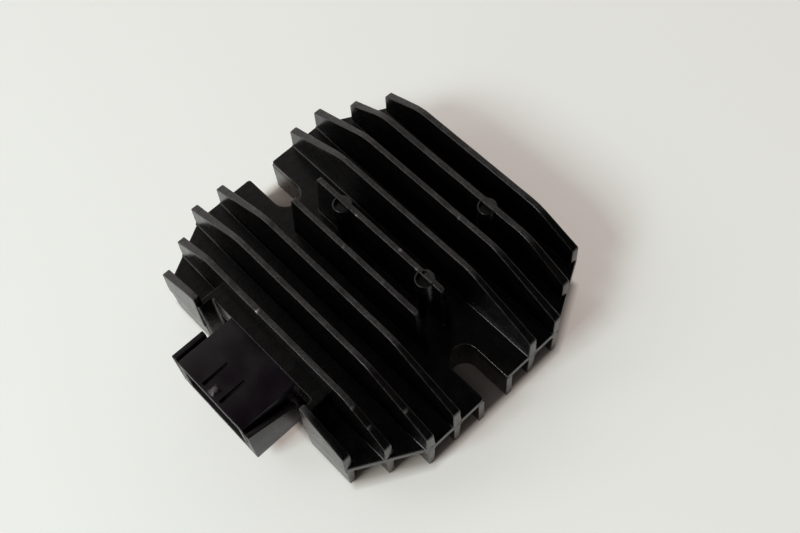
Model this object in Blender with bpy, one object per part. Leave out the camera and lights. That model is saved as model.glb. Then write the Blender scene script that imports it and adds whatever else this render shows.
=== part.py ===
"""Voltage regulator rectifier: a finned die casting with a moulded connector housing.

The unit stands on the feet of its casting, z = 0. X runs along the fins and Y across them, with
the connector on the -Y side. The casting is laid out about the middle between its bolt slots; the
empty that carries every piece then moves the whole to the middle of its box. Lengths in metres.
"""
import math

import bmesh
import bpy
from mathutils import Matrix

# Clearance between pieces that touch on the real unit
GAP = 0.0003

# Fins: thickness at the root and the top, heights above the floor
FIN_COUNT = 10
FIN_PITCH = 0.0085
FIN_ROOT_THICKNESS = 0.0026
FIN_TOP_THICKNESS = 0.0015
FIN_HEIGHT = 0.0155
SECOND_FIN_HEIGHT = 0.0134
OUTER_FIN_HEIGHT = 0.0122
FIN_END_HEIGHT = 0.0060
FIN_SETBACK = 0.0008
FIN_SLOPE_RUN = 0.0203
OUTER_SLOPE_RUN = 0.0125
FIN_BEND_RADIUS = 0.012
FIN_TIP_RADIUS = 0.0016
FIN_EDGE_ROUNDING = 0.00035
SHORT_FIN_LENGTH = 0.0446
SHORT_FIN_END_DRAFT = 0.0014

# Floor plate and the space beneath it
PLATE_LENGTH = 0.0884
PLATE_THICKNESS = 0.0022
PLATE_CORNER_SLOPE = 0.56
PLATE_CORNER_RADIUS = 0.0012
POCKET_DEPTH = 0.0097
FOOT_THICKNESS = 0.0017
FOOT_ROOT_THICKNESS = 0.0022
RIM_SETBACK = 0.0045
RIM_WALL = 0.0022

# Bolt slots, open at both ends of the plate
SLOT_WIDTH = 0.0078
SLOT_SPACING = 0.0672
SLOT_WALL = 0.0018
BOLT_HEAD_ROOM = 0.0035

# Round ejector pads on the fins: index of the fin and place along it
PAD_RADIUS = 0.0025
PAD_OFFSET = 0.0009
PAD_RECESS_RADIUS = 0.0019
PAD_RECESS_DEPTH = 0.0010
PADS = ((5, -0.0123), (5, 0.0172), (8, 0.0128))

# Notch in the first fin and the hood that covers the inner end of the connector
NOTCH_WIDTH = 0.0374
NOTCH_SETBACK = 0.0034
HOOD_WALL = 0.0016
HOOD_ROOF = 0.0014
HOOD_ROUNDING = 0.0008

# Connector housing
HOUSING_WIDTH = 0.0290
HOUSING_NECK_WIDTH = 0.0244
HOUSING_HEIGHT = 0.0144
HOUSING_RISE = 0.0068
HOUSING_REACH = 0.0166
LEFT_RAIL_LENGTH = 0.0096
RIGHT_RAIL_LENGTH = 0.0142
RAIL_THICKNESS = 0.0015
RAIL_GROOVE_DEPTH = 0.0070
RIGHT_RAIL_DROP_AT_MOUTH = 0.0009
RIGHT_RAIL_DROP_AT_BACK = 0.0052
SOCKET_WALL = 0.0014
SOCKET_DEPTH = 0.0139
FLANGE_OVERHANG = 0.0042
HOUSING_EDGE_ROUNDING = 0.0004
SLIT_WIDTH = 0.0010
SLIT_LENGTH = 0.0077
SLIT_SETBACK = 0.0009
LATCH_WIDTH = 0.0054
LATCH_BUMP_LENGTH = 0.0024
LATCH_BUMP_WIDTH = 0.0018
LATCH_BUMP_HEIGHT = 0.0007
LATCH_BUMP_SETBACK = 0.0020

# Terminals
TERMINAL_NAMES = ("terminal_phase_1", "terminal_phase_2", "terminal_phase_3",
                  "terminal_positive", "terminal_negative")
TERMINAL_PITCH = 0.0042
TERMINAL_THICKNESS = 0.0008
BLADE_HEIGHT = 0.0063
BLADE_LENGTH = 0.0085
BLADE_CHAMFER = 0.0012
TAIL_HEIGHT = 0.0017
TAIL_REACH = 0.0065
DROP_WIDTH = 0.0020
DROP_SETBACK = 0.0015

# Board and what is soldered beneath it
BOARD_LENGTH = 0.0510
BOARD_SETBACK = 0.00355
BOARD_THICKNESS = 0.0015
BOARD_RADIUS = 0.0015
POWER_PITCH = 0.0160
POWER_BODY_LENGTH = 0.0100
POWER_BODY_WIDTH = 0.0088
POWER_BODY_HEIGHT = 0.0040
POWER_TAB_WIDTH = 0.0015
POWER_TAB_THICKNESS = 0.0013
POWER_LEAD_LENGTH = 0.0030
POWER_LEAD_WIDTH = 0.0010
POWER_LEAD_THICKNESS = 0.0007
POWER_LEAD_SPREAD = 0.0051
CHIP_LENGTH = 0.0100
CHIP_WIDTH = 0.0062
CHIP_HEIGHT = 0.0020
CHIP_PLACE = -0.0140
CAPACITOR_RADIUS = 0.0025
CAPACITOR_HEIGHT = 0.0042
CAPACITOR_PLACES = (-0.0030, 0.0040)
RESISTOR_LENGTH = 0.0032
RESISTOR_WIDTH = 0.0016
RESISTOR_HEIGHT = 0.0008
RESISTOR_PLACE = 0.0140
RESISTOR_PITCH = 0.0034

# Resin in the pocket, set back a little from the feet
RESIN_SETBACK = 0.0008

ARC_STEPS = 5
CUT_MARGIN = 0.001

# Derived heights and places, from the mounting plane up and from the slots' middle outward
floor_top = POCKET_DEPTH + PLATE_THICKNESS
plate_middle = POCKET_DEPTH + PLATE_THICKNESS / 2
half_plate = PLATE_LENGTH / 2
last_fin_y = (FIN_COUNT - 1) / 2 * FIN_PITCH
plate_side_y = last_fin_y + FIN_ROOT_THICKNESS / 2
corner_start_y = (FIN_COUNT - 5) / 2 * FIN_PITCH
slot_end_x = SLOT_SPACING / 2
slot_radius = SLOT_WIDTH / 2
notch_y = -(last_fin_y - NOTCH_SETBACK)
wall_inner_y = notch_y + RIM_WALL
second_fin_y = -(last_fin_y - FIN_PITCH)
hood_back_y = second_fin_y - FIN_ROOT_THICKNESS / 2
housing_top = floor_top + HOUSING_RISE
housing_bottom = housing_top - HOUSING_HEIGHT
mouth_y = notch_y - HOUSING_REACH
socket_back_y = mouth_y + SOCKET_DEPTH
hood_ceiling = housing_top + GAP
hood_top = hood_ceiling + HOOD_ROOF
flange_front_y = wall_inner_y + GAP
flange_back_y = hood_back_y - GAP
neck_end_y = (flange_front_y + flange_back_y) / 2
half_flange = HOUSING_NECK_WIDTH / 2 + FLANGE_OVERHANG
half_board = -(hood_back_y + BOARD_SETBACK)
board_top = POCKET_DEPTH - GAP
board_bottom = board_top - BOARD_THICKNESS
solder_plane = board_bottom - GAP

# Rows beneath the board: the room between the terminals' tails and its far edge, shared evenly
tail_end_y = flange_back_y + TAIL_REACH
power_depth = POWER_LEAD_LENGTH + POWER_BODY_WIDTH + POWER_TAB_WIDTH
control_depth = 2 * RESISTOR_PITCH + RESISTOR_WIDTH
row_gap = (half_board - tail_end_y - 2 * power_depth - control_depth) / 4
thyristor_y = tail_end_y + row_gap + POWER_LEAD_LENGTH + POWER_BODY_WIDTH / 2
diode_y = thyristor_y + power_depth + row_gap
control_y = half_board - row_gap - control_depth / 2

box_middle_y = (mouth_y + plate_side_y) / 2


def clear_scene():
    """Take away whatever the scene holds."""
    for item in list(bpy.data.objects):
        bpy.data.objects.remove(item, do_unlink=True)


def make_collection(name):
    """Return a new collection linked to the scene."""
    group = bpy.data.collections.new(name)
    bpy.context.scene.collection.children.link(group)
    return group


clear_scene()
parts = make_collection("voltage_regulator_rectifier")
cutters = make_collection("cutters")


def make_material(name, colour, roughness, metallic):
    """Return a plain Principled material."""
    material = bpy.data.materials.new(name)
    material.use_nodes = True
    shader = material.node_tree.nodes["Principled BSDF"]
    shader.inputs["Base Color"].default_value = (*colour, 1.0)
    shader.inputs["Roughness"].default_value = roughness
    shader.inputs["Metallic"].default_value = metallic
    return material


coated_casting = make_material("coated_casting", (0.018, 0.017, 0.018), 0.45, 0.0)
housing_plastic = make_material("housing_plastic", (0.045, 0.037, 0.045), 0.40, 0.0)
tinned_brass = make_material("tinned_brass", (0.70, 0.66, 0.58), 0.30, 1.0)
board_aluminium = make_material("board_aluminium", (0.62, 0.63, 0.64), 0.35, 1.0)
package_epoxy = make_material("package_epoxy", (0.030, 0.030, 0.032), 0.55, 0.0)
capacitor_can = make_material("capacitor_can", (0.66, 0.67, 0.68), 0.30, 1.0)
resistor_ceramic = make_material("resistor_ceramic", (0.25, 0.24, 0.22), 0.60, 0.0)
black_resin = make_material("black_resin", (0.012, 0.012, 0.013), 0.35, 0.0)


def add_object(name, mesh, group):
    """Link a mesh as an object in a collection."""
    item = bpy.data.objects.new(name, mesh)
    group.objects.link(item)
    if group is cutters:
        item.hide_render = True
        item.display_type = "WIRE"
    return item


def box(name, low, high, group=cutters):
    """Return a box between two corners."""
    mesh = bpy.data.meshes.new(name)
    bm = bmesh.new()
    bmesh.ops.create_cube(bm, size=1.0)
    for vert in bm.verts:
        for axis in range(3):
            middle = (low[axis] + high[axis]) / 2
            vert.co[axis] = middle + vert.co[axis] * (high[axis] - low[axis])
    bm.to_mesh(mesh)
    bm.free()
    return add_object(name, mesh, group)


def cylinder(name, radius, centre, low, high, group=cutters):
    """Return an upright cylinder of 32 sides."""
    mesh = bpy.data.meshes.new(name)
    bm = bmesh.new()
    place = Matrix.Translation((centre[0], centre[1], (low + high) / 2))
    bmesh.ops.create_cone(bm, cap_ends=True, segments=32, radius1=radius, radius2=radius,
                          depth=high - low, matrix=place)
    bm.to_mesh(mesh)
    bm.free()
    return add_object(name, mesh, group)


def rounded(corners, steps=ARC_STEPS):
    """Return an outline with each corner (x, y, radius) turned into an arc of that radius."""
    outline = []
    count = len(corners)
    for index, (x, y, radius) in enumerate(corners):
        before = corners[index - 1]
        after = corners[(index + 1) % count]
        in_x, in_y = x - before[0], y - before[1]
        out_x, out_y = after[0] - x, after[1] - y
        in_length = math.hypot(in_x, in_y)
        out_length = math.hypot(out_x, out_y)
        turn = math.atan2(in_x * out_y - in_y * out_x, in_x * out_x + in_y * out_y)
        if radius <= 0 or abs(turn) < 1e-4:
            outline.append((x, y))
            continue
        reach = min(radius * math.tan(abs(turn) / 2), 0.49 * in_length, 0.49 * out_length)
        true_radius = reach / math.tan(abs(turn) / 2)
        side = math.copysign(1.0, turn)
        start_x = x - in_x / in_length * reach
        start_y = y - in_y / in_length * reach
        centre_x = start_x - side * in_y / in_length * true_radius
        centre_y = start_y + side * in_x / in_length * true_radius
        start_angle = math.atan2(start_y - centre_y, start_x - centre_x)
        for step in range(steps + 1):
            angle = start_angle + turn * step / steps
            outline.append((centre_x + true_radius * math.cos(angle),
                            centre_y + true_radius * math.sin(angle)))
    return outline


PLANES = {
    "XY": Matrix(((1, 0, 0, 0), (0, 1, 0, 0), (0, 0, 1, 0), (0, 0, 0, 1))),
    "XZ": Matrix(((1, 0, 0, 0), (0, 0, -1, 0), (0, 1, 0, 0), (0, 0, 0, 1))),
    "YZ": Matrix(((0, 0, 1, 0), (1, 0, 0, 0), (0, 1, 0, 0), (0, 0, 0, 1))),
}


def prism(name, outline, plane, low, high, group=cutters):
    """Return a closed outline in a plane, filled and drawn out from low to high across it."""
    curve = bpy.data.curves.new(name, "CURVE")
    curve.dimensions = "2D"
    curve.fill_mode = "BOTH"
    curve.extrude = (high - low) / 2
    spline = curve.splines.new("POLY")
    spline.points.add(len(outline) - 1)
    for point, place in zip(spline.points, outline):
        point.co = (place[0], place[1], 0, 1)
    spline.use_cyclic_u = True
    drawn = bpy.data.objects.new(name + "_outline", curve)
    cutters.objects.link(drawn)
    bpy.context.view_layer.update()
    graph = bpy.context.evaluated_depsgraph_get()
    mesh = bpy.data.meshes.new_from_object(drawn.evaluated_get(graph))
    bpy.data.objects.remove(drawn, do_unlink=True)
    bm = bmesh.new()
    bm.from_mesh(mesh)
    bmesh.ops.remove_doubles(bm, verts=bm.verts, dist=1e-6)
    bmesh.ops.dissolve_limit(bm, angle_limit=0.002, verts=bm.verts, edges=bm.edges)
    across = -1 if plane == "XZ" else 1
    shift = Matrix.Translation((0, 0, across * (low + high) / 2))
    bmesh.ops.transform(bm, matrix=PLANES[plane] @ shift, verts=bm.verts)
    bmesh.ops.recalc_face_normals(bm, faces=bm.faces)
    bm.to_mesh(mesh)
    bm.free()
    mesh.name = name
    return add_object(name, mesh, group)


def round_edges(item, width, wanted, segments=2):
    """Round the sharp edges of a mesh whose middles pass a test."""
    bm = bmesh.new()
    bm.from_mesh(item.data)
    picked = []
    for edge in bm.edges:
        middle = (edge.verts[0].co + edge.verts[1].co) / 2
        if edge.calc_face_angle(0.0) > math.radians(30) and wanted(middle, edge):
            picked.append(edge)
    bmesh.ops.bevel(bm, geom=picked, offset=width, segments=segments, profile=0.5,
                    affect="EDGES", clamp_overlap=True)
    bm.to_mesh(item.data)
    bm.free()


def combine(target, tools, operation):
    """Join or cut the target by each tool in turn, then take the tools away."""
    for tool in tools:
        modifier = target.modifiers.new(tool.name, "BOOLEAN")
        modifier.operation = operation
        modifier.solver = "EXACT"
        modifier.object = tool
    bpy.context.view_layer.update()
    graph = bpy.context.evaluated_depsgraph_get()
    mesh = bpy.data.meshes.new_from_object(target.evaluated_get(graph))
    target.modifiers.clear()
    old = target.data
    target.data = mesh
    bpy.data.meshes.remove(old)
    for tool in tools:
        bpy.data.objects.remove(tool, do_unlink=True)
    return target


def unite(target, tools):
    """Join the tools to the target."""
    return combine(target, tools, "UNION")


def cut(target, tools):
    """Cut the tools out of the target."""
    return combine(target, tools, "DIFFERENCE")


def finish(item, name, material):
    """Name a finished piece, give it its material and soft shading, and list it with the parts."""
    item.name = name
    item.data.name = name
    item.data.materials.clear()
    item.data.materials.append(material)
    item.data.shade_smooth()
    item.data.set_sharp_from_angle(angle=math.radians(35))
    if item.name in cutters.objects:
        cutters.objects.unlink(item)
        parts.objects.link(item)
    item.hide_render = False
    item.display_type = "TEXTURED"
    item.parent = carrier
    return item


carrier = bpy.data.objects.new("carrier", None)
carrier.location = (0, -box_middle_y, 0)
parts.objects.link(carrier)


# The casting

def fin_y(index):
    """Return a fin's place across the unit."""
    return (index - (FIN_COUNT - 1) / 2) * FIN_PITCH


def edge_x(y):
    """Return half the plate's length at a place across it."""
    return half_plate - max(0.0, abs(y) - corner_start_y) * PLATE_CORNER_SLOPE


def is_short(index):
    """Tell whether a fin stops between the slots, to leave room for the bolt heads."""
    return abs(fin_y(index)) - FIN_ROOT_THICKNESS / 2 < slot_radius + BOLT_HEAD_ROOM


def fin_height(index):
    """Return a fin's height above the floor; the two outermost on each side are lower."""
    from_side = min(index, FIN_COUNT - 1 - index)
    return {0: OUTER_FIN_HEIGHT, 1: SECOND_FIN_HEIGHT}.get(from_side, FIN_HEIGHT)


def fin_corners(index):
    """Return a fin's side view: upright ends, a slope from each and a level middle."""
    top = floor_top + fin_height(index)
    if is_short(index):
        half_top = SHORT_FIN_LENGTH / 2
        half_root = half_top + SHORT_FIN_END_DRAFT
        return [(half_root, plate_middle, 0), (half_top, top, FIN_TIP_RADIUS),
                (-half_top, top, FIN_TIP_RADIUS), (-half_root, plate_middle, 0)]
    half = edge_x(fin_y(index)) - FIN_SETBACK
    side_fin = min(index, FIN_COUNT - 1 - index) < 2
    bend = half - (OUTER_SLOPE_RUN if side_fin else FIN_SLOPE_RUN)
    end = floor_top + FIN_END_HEIGHT
    right = [(half, plate_middle, 0), (half, end, FIN_TIP_RADIUS), (bend, top, FIN_BEND_RADIUS)]
    left = [(-x, z, radius) for x, z, radius in reversed(right)]
    return right + left


def draft(item, centre, low, low_thickness, high, high_thickness):
    """Set a web's thickness so that it runs evenly from one height to another."""
    for vert in item.data.vertices:
        share = (vert.co.z - low) / (high - low)
        half = (low_thickness + (high_thickness - low_thickness) * share) / 2
        vert.co.y = centre + math.copysign(half, vert.co.y - centre)


def make_fin(index):
    """Return one drafted fin, rounded along its top."""
    y = fin_y(index)
    outline = rounded(fin_corners(index))
    fin = prism(f"fin_{index}", outline, "XZ", y - CUT_MARGIN, y + CUT_MARGIN)
    draft(fin, y, plate_middle, FIN_ROOT_THICKNESS, floor_top + FIN_HEIGHT, FIN_TOP_THICKNESS)
    round_edges(fin, FIN_EDGE_ROUNDING, lambda middle, edge: middle.z > floor_top
                and abs(edge.verts[0].co.y - edge.verts[1].co.y) < FIN_TOP_THICKNESS / 4)
    return fin


def make_foot(index):
    """Return the web beneath the plate in line with a fin, narrower toward the ground."""
    y = fin_y(index)
    half = edge_x(y) - FIN_SETBACK
    foot = box(f"foot_{index}", (-half, y - CUT_MARGIN, 0), (half, y + CUT_MARGIN, plate_middle))
    draft(foot, y, 0, FOOT_THICKNESS, POCKET_DEPTH, FOOT_ROOT_THICKNESS)
    round_edges(foot, FOOT_THICKNESS * 0.3, lambda middle, edge: abs(middle.x) > half * 0.99
                and abs(edge.verts[0].co.z - edge.verts[1].co.z) > POCKET_DEPTH / 2)
    return foot


def octagon(half_x, half_y, corner_y, corner_x, radius):
    """Return a rectangle whose corners are cut off straight, from (half_x, corner_y) on."""
    quarter = [(half_x, corner_y, radius), (corner_x, half_y, radius)]
    upper = quarter + [(-x, y, r) for x, y, r in reversed(quarter)]
    lower = [(x, -y, r) for x, y, r in reversed(upper)]
    return rounded(upper + lower, 3)


def rim_outline(inset):
    """Return the outline of the pocket's wall, or of the pocket when inset by the wall."""
    half_x = half_plate - RIM_SETBACK - inset
    half_y = -notch_y - inset
    corner_x = edge_x(half_y + RIM_SETBACK) - RIM_SETBACK - inset
    corner_y = half_y - (half_x - corner_x) / PLATE_CORNER_SLOPE
    return octagon(half_x, half_y, corner_y, corner_x, PLATE_CORNER_RADIUS)


def slot_outline(side, grow, reach):
    """Return a slot open toward one end of the plate, grown all round by a wall."""
    radius = slot_radius + grow
    arc = []
    for step in range(17):
        angle = math.pi / 2 + math.pi * step / 16
        arc.append((slot_end_x + radius * math.cos(angle), radius * math.sin(angle)))
    outline = arc + [(reach, -radius), (reach, radius)]
    if side < 0:
        return [(-x, y) for x, y in reversed(outline)]
    return outline


def slot_walls(grow, bottom):
    """Return the walls round both slots, grown by a clearance."""
    walls = []
    for side in (-1, 1):
        outline = slot_outline(side, SLOT_WALL + grow, half_plate)
        walls.append(prism(f"slot_wall_{side}", outline, "XY", bottom, plate_middle))
    return walls


def make_pads():
    """Return the round ejector pads, each with a D shaped recess beside its fin."""
    pads = []
    for index, x in PADS:
        y = fin_y(index) - PAD_OFFSET
        top = floor_top + fin_height(index)
        pad = cylinder(f"pad_{index}", PAD_RADIUS, (x, y), plate_middle, top)
        recess = cylinder("recess", PAD_RECESS_RADIUS, (x, y), top - PAD_RECESS_DEPTH,
                          top + CUT_MARGIN)
        fin_face = fin_y(index) - FIN_TOP_THICKNESS / 2 - GAP
        keep = box("keep", (x - PAD_RADIUS, fin_face, top - 2 * PAD_RECESS_DEPTH),
                   (x + PAD_RADIUS, fin_face + 2 * PAD_RADIUS, top + 2 * CUT_MARGIN))
        cut(recess, [keep])
        pads.append(cut(pad, [recess]))
    return pads


def make_heat_sink():
    """Return the whole casting."""
    plate = prism("heat_sink", octagon(half_plate, plate_side_y, corner_start_y,
                                       edge_x(plate_side_y), PLATE_CORNER_RADIUS),
                  "XY", POCKET_DEPTH, floor_top)
    fins = [make_fin(index) for index in range(FIN_COUNT)]
    feet = [make_foot(index) for index in range(FIN_COUNT) if not is_short(index)]
    rim = prism("rim", rim_outline(0.0), "XY", 0, plate_middle)
    half_hood = NOTCH_WIDTH / 2 + HOOD_WALL
    hood = box("hood", (-half_hood, -last_fin_y - FIN_TOP_THICKNESS / 2, 0),
               (half_hood, second_fin_y, hood_top))
    round_edges(hood, HOOD_ROUNDING, lambda middle, edge: middle.z > hood_top * 0.9)
    unite(plate, fins + feet + [rim, hood] + slot_walls(0.0, 0.0) + make_pads())
    far = PLATE_LENGTH
    notch = box("notch", (-NOTCH_WIDTH / 2, -far, -far), (NOTCH_WIDTH / 2, notch_y, far))
    pocket = prism("pocket", rim_outline(RIM_WALL), "XY", -CUT_MARGIN, POCKET_DEPTH)
    cut(pocket, slot_walls(0.0, -2 * CUT_MARGIN))
    half_cavity = half_flange + GAP
    cavity = box("cavity", (-half_cavity, wall_inner_y, POCKET_DEPTH - CUT_MARGIN),
                 (half_cavity, hood_back_y, hood_ceiling))
    half_window = HOUSING_NECK_WIDTH / 2 + GAP
    window = box("window", (-half_window, notch_y - CUT_MARGIN, housing_bottom - GAP),
                 (half_window, wall_inner_y + CUT_MARGIN, hood_ceiling))
    slots = [prism("slot", slot_outline(side, 0.0, half_plate + CUT_MARGIN), "XY",
                   -CUT_MARGIN, floor_top + CUT_MARGIN) for side in (-1, 1)]
    cut(plate, [notch, pocket, cavity, window] + slots)
    return finish(plate, "heat_sink", coated_casting)


# The connector

def terminal_x(index):
    """Return a terminal's place along the socket."""
    return (index - (len(TERMINAL_NAMES) - 1) / 2) * TERMINAL_PITCH


blade_bottom = (housing_bottom + housing_top - BLADE_HEIGHT) / 2
blade_top = blade_bottom + BLADE_HEIGHT
drop_y = socket_back_y + DROP_SETBACK
tail_top = solder_plane
tail_bottom = tail_top - TAIL_HEIGHT


def terminal_outline(front, grow, chamfer):
    """Return a terminal's side view, blade, drop and tail, grown by a clearance."""
    drop_end = drop_y + DROP_WIDTH + grow
    corners = [(front, blade_bottom - grow, chamfer), (drop_y - grow, blade_bottom - grow, 0),
               (drop_y - grow, tail_bottom - grow, 0), (tail_end_y + grow, tail_bottom - grow, 0),
               (tail_end_y + grow, tail_top + grow, 0), (drop_end, tail_top + grow, 0),
               (drop_end, blade_top + grow, 0), (front, blade_top + grow, chamfer)]
    return rounded(corners, 1)


def terminal_space(index):
    """Return the way that a terminal takes through the housing and the resin."""
    half = TERMINAL_THICKNESS / 2 + GAP
    x = terminal_x(index)
    outline = terminal_outline(socket_back_y - CUT_MARGIN, GAP, 0)
    return prism("terminal_space", outline, "YZ", x - half, x + half)


def make_terminal(index, name):
    """Return a flat stamped terminal."""
    half = TERMINAL_THICKNESS / 2
    x = terminal_x(index)
    outline = terminal_outline(socket_back_y - BLADE_LENGTH, 0.0, BLADE_CHAMFER)
    return finish(prism(name, outline, "YZ", x - half, x + half), name, tinned_brass)


def make_housing():
    """Return the moulded housing: socket, side rails, latch tongue, neck and flange."""
    half = HOUSING_WIDTH / 2
    half_neck = HOUSING_NECK_WIDTH / 2
    left_end = mouth_y + LEFT_RAIL_LENGTH
    right_end = mouth_y + RIGHT_RAIL_LENGTH
    edge = HOUSING_EDGE_ROUNDING
    left_shell = [(0, housing_bottom, 0), (0, housing_top, 0), (-half, housing_top, edge),
                  (-half, housing_bottom, edge)]
    right_shell = [(-x, z, radius) for x, z, radius in reversed(left_shell)]
    neck = [(-half_neck, housing_bottom, edge), (half_neck, housing_bottom, edge),
            (half_neck, housing_top, edge), (-half_neck, housing_top, edge)]
    body = prism("connector_housing", rounded(neck, 3), "XZ", mouth_y, neck_end_y)
    shells = [prism("left_shell", rounded(left_shell, 3), "XZ", mouth_y, left_end),
              prism("right_shell", rounded(right_shell, 3), "XZ", mouth_y, right_end)]
    flange = box("flange", (-half_flange, flange_front_y, RESIN_SETBACK),
                 (half_flange, flange_back_y, housing_top - GAP))
    unite(body, shells + [flange, bump_solid()])
    inner_rail = half - RAIL_THICKNESS
    socket_half = half_neck - SOCKET_WALL
    socket = box("socket", (-socket_half, mouth_y - CUT_MARGIN, housing_bottom + SOCKET_WALL),
                 (socket_half, socket_back_y, housing_top - SOCKET_WALL))
    grooves = []
    for side, end in ((-1, left_end), (1, right_end)):
        xs = sorted((side * half_neck, side * inner_rail))
        grooves.append(box("groove", (xs[0], mouth_y - CUT_MARGIN, housing_top - RAIL_GROOVE_DEPTH),
                           (xs[1], end + CUT_MARGIN, housing_top + CUT_MARGIN)))
    slope = prism("slope", [(mouth_y - CUT_MARGIN, housing_top - RIGHT_RAIL_DROP_AT_MOUTH),
                            (right_end + CUT_MARGIN, housing_top - RIGHT_RAIL_DROP_AT_BACK),
                            (right_end + CUT_MARGIN, housing_top + CUT_MARGIN),
                            (mouth_y - CUT_MARGIN, housing_top + CUT_MARGIN)],
                  "YZ", (half_neck + inner_rail) / 2, half + CUT_MARGIN)
    slit_y = mouth_y + SLIT_SETBACK
    slits = []
    for side in (-1, 1):
        x = side * (LATCH_WIDTH + SLIT_WIDTH) / 2
        slits.append(box("slit", (x - SLIT_WIDTH / 2, slit_y, housing_top - 2 * SOCKET_WALL),
                         (x + SLIT_WIDTH / 2, slit_y + SLIT_LENGTH, housing_top + CUT_MARGIN)))
    ways = [terminal_space(index) for index in range(len(TERMINAL_NAMES))]
    cut(body, [socket] + grooves + [slope] + slits + ways)
    return finish(body, "connector_housing", housing_plastic)


def bump_solid():
    """Return the latch bump, a low dome on the tongue near the mouth."""
    mesh = bpy.data.meshes.new("bump")
    bm = bmesh.new()
    bmesh.ops.create_uvsphere(bm, u_segments=16, v_segments=10, radius=1.0)
    size = (LATCH_BUMP_WIDTH / 2, LATCH_BUMP_LENGTH / 2, LATCH_BUMP_HEIGHT)
    bmesh.ops.scale(bm, vec=size, verts=bm.verts)
    place = (0, mouth_y + LATCH_BUMP_SETBACK, housing_top - LATCH_BUMP_HEIGHT / 10)
    bmesh.ops.translate(bm, vec=place, verts=bm.verts)
    bm.to_mesh(mesh)
    bm.free()
    return add_object("bump", mesh, cutters)


# The circuit

def board_box(grow):
    """Return the board's outline as a box grown by a clearance."""
    half = BOARD_LENGTH / 2 + grow
    return box("board_space", (-half, -half_board - grow, board_bottom - grow),
               (half, half_board + grow, POCKET_DEPTH + CUT_MARGIN))


def make_board():
    """Return the metal board that the circuit is soldered to."""
    outline = octagon(BOARD_LENGTH / 2, half_board, half_board - BOARD_RADIUS,
                      BOARD_LENGTH / 2 - BOARD_RADIUS, 0)
    board = prism("metal_substrate", outline, "XY", board_bottom, board_top)
    return finish(board, "metal_substrate", board_aluminium)


def power_boxes(x, y, grow):
    """Return a power package's body, cooling tab and leads as boxes grown by a clearance."""
    half = POWER_BODY_LENGTH / 2 + grow
    front = y - POWER_BODY_WIDTH / 2
    back = y + POWER_BODY_WIDTH / 2
    top = solder_plane + grow
    boxes = [box("body", (x - half, front - grow, solder_plane - POWER_BODY_HEIGHT - grow),
                 (x + half, back + grow, top)),
             box("tab", (x - half + CUT_MARGIN / 2, back - CUT_MARGIN,
                         solder_plane - POWER_TAB_THICKNESS - grow),
                 (x + half - CUT_MARGIN / 2, back + POWER_TAB_WIDTH + grow, top))]
    for side in (-1, 1):
        lead_x = x + side * POWER_LEAD_SPREAD / 2
        boxes.append(box("lead", (lead_x - POWER_LEAD_WIDTH / 2 - grow,
                                  front - POWER_LEAD_LENGTH - grow,
                                  solder_plane - POWER_LEAD_THICKNESS - grow),
                         (lead_x + POWER_LEAD_WIDTH / 2 + grow, front + CUT_MARGIN, top)))
    return boxes


def make_power_package(name, x, y):
    """Return one power package, body down, leads toward the connector."""
    pieces = power_boxes(x, y, 0.0)
    body = unite(pieces[0], pieces[1:])
    return finish(body, name, package_epoxy)


def circuit_pieces():
    """Return (name, kind, x, y) of all that is soldered beneath the board."""
    rows = []
    for index in range(3):
        x = (index - 1) * POWER_PITCH
        rows.append((f"thyristor_{index + 1}", "power", x, thyristor_y))
        rows.append((f"diode_{index + 1}", "power", x, diode_y))
        y = control_y + (index - 1) * RESISTOR_PITCH
        rows.append((f"gate_resistor_{index + 1}", "resistor", RESISTOR_PLACE, y))
    for index, x in enumerate(CAPACITOR_PLACES):
        rows.append((f"capacitor_{index + 1}", "capacitor", x, control_y))
    rows.append(("control_chip", "chip", CHIP_PLACE, control_y))
    return rows


BLOCKS = {"chip": (CHIP_LENGTH, CHIP_WIDTH, CHIP_HEIGHT, package_epoxy),
          "resistor": (RESISTOR_LENGTH, RESISTOR_WIDTH, RESISTOR_HEIGHT, resistor_ceramic)}


def piece_space(kind, x, y, grow):
    """Return the space that a soldered piece takes, grown by a clearance."""
    if kind == "power":
        return power_boxes(x, y, grow)
    if kind == "capacitor":
        return [cylinder("can", CAPACITOR_RADIUS + grow, (x, y),
                         solder_plane - CAPACITOR_HEIGHT - grow, solder_plane + grow)]
    length, width, height, _ = BLOCKS[kind]
    return [box("block", (x - length / 2 - grow, y - width / 2 - grow,
                          solder_plane - height - grow),
                (x + length / 2 + grow, y + width / 2 + grow, solder_plane + grow))]


def make_circuit():
    """Make every soldered piece."""
    for name, kind, x, y in circuit_pieces():
        if kind == "power":
            make_power_package(name, x, y)
            continue
        material = capacitor_can if kind == "capacitor" else BLOCKS[kind][3]
        finish(piece_space(kind, x, y, 0.0)[0], name, material)


def make_resin():
    """Return the resin that fills the pocket round the circuit, from below the plate down."""
    resin = prism("potting_compound", rim_outline(RIM_WALL + GAP), "XY", RESIN_SETBACK, board_top)
    flange_space = box("flange_space", (-half_flange - GAP, -PLATE_LENGTH, -CUT_MARGIN),
                       (half_flange + GAP, flange_back_y + GAP, floor_top))
    spaces = [flange_space, board_box(GAP)] + slot_walls(GAP, -CUT_MARGIN)
    for name, kind, x, y in circuit_pieces():
        spaces += piece_space(kind, x, y, GAP + GAP / 10)
    spaces += [terminal_space(index) for index in range(len(TERMINAL_NAMES))]
    cut(resin, spaces)
    return finish(resin, "potting_compound", black_resin)


make_heat_sink()
make_housing()
for number, title in enumerate(TERMINAL_NAMES):
    make_terminal(number, title)
make_board()
make_circuit()
make_resin()
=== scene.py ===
"""Studio scene of a finned voltage regulator rectifier with a moulded connector socket.

Every visible surface of the casting and of the connector is worked out with numpy from the sizes
in the property groups. What is held inside keeps its solids and gets a finish. Lengths are in
metres, X runs along the fins, Y across them and Z up from the mounting plane.
"""
import math

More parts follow.
